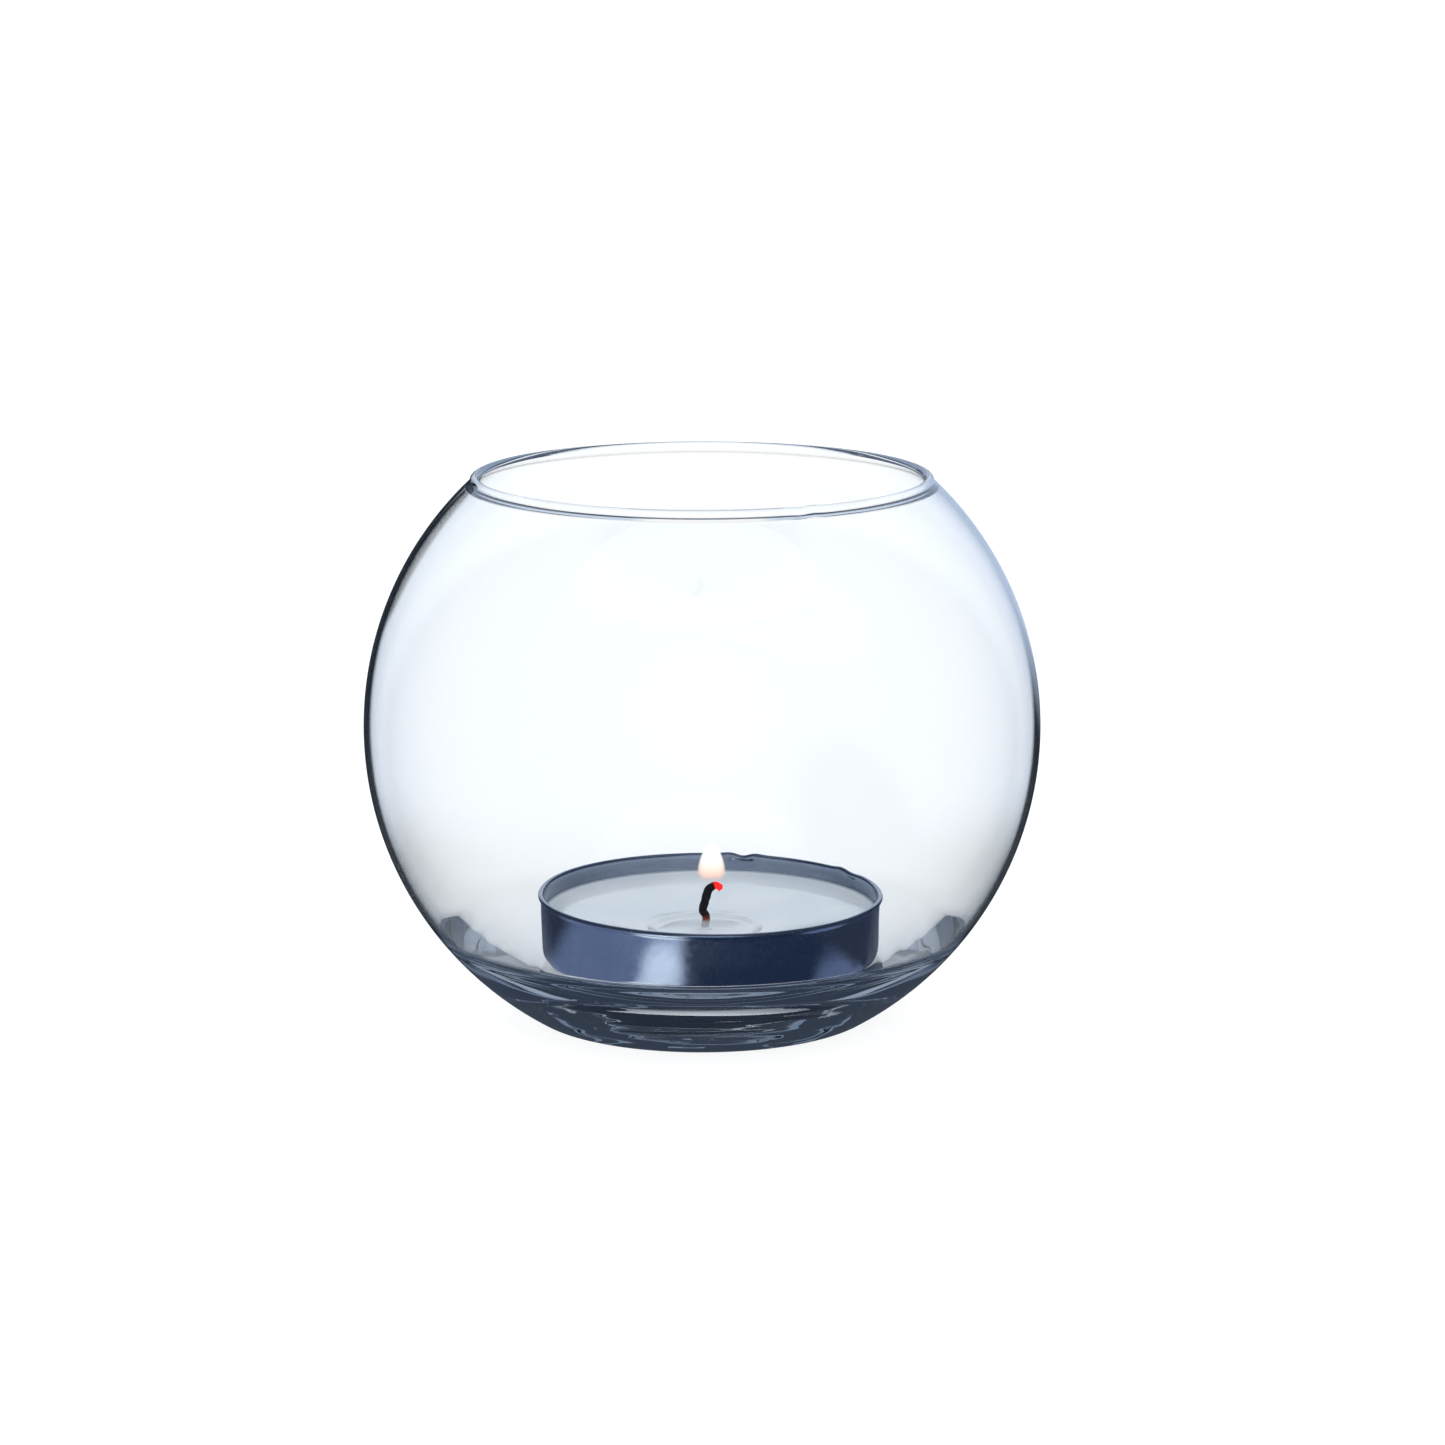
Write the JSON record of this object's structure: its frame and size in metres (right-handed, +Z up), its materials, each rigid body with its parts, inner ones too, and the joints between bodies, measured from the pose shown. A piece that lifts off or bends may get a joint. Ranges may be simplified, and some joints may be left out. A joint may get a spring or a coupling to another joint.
{
  "type": "tealight holder",
  "caption": "Clear glass fishbowl with a heavy dished base and a beaded mouth, holding a lift-out tealight of aluminium cup, wax and wick.",
  "frame": {"origin": "middle of the flat foot, on the surface that the bowl stands on", "axes": "+Z up along the bowl's axis, +Y away from the viewer of the picture, +X to the viewer's right"},
  "size_m": [0.076, 0.076, 0.0612],
  "materials": {
    "clear_glass": "clear, fire polished",
    "satin_aluminium": "satin, drawn sheet",
    "paraffin_wax": "smooth wax",
    "charred_cotton": "charred braid",
    "tinned_steel": "tinned sheet"
  },
  "bodies": {
    "bowl": {"glass_bowl": "clear_glass"},
    "tealight": {"tealight_cup": "satin_aluminium"},
    "candle": {"wax_puck": "paraffin_wax", "wick": "charred_cotton", "wick_tab": "tinned_steel"}
  },
  "joints": [
    {"name": "tealight_lift", "type": "slide", "parent": "bowl", "child": "tealight", "axis": [0, 0, 1], "range_m": [0, 0.07]},
    {"name": "candle_lift", "type": "slide", "parent": "tealight", "child": "candle", "axis": [0, 0, 1], "range_m": [0, 0.012]}
  ]
}
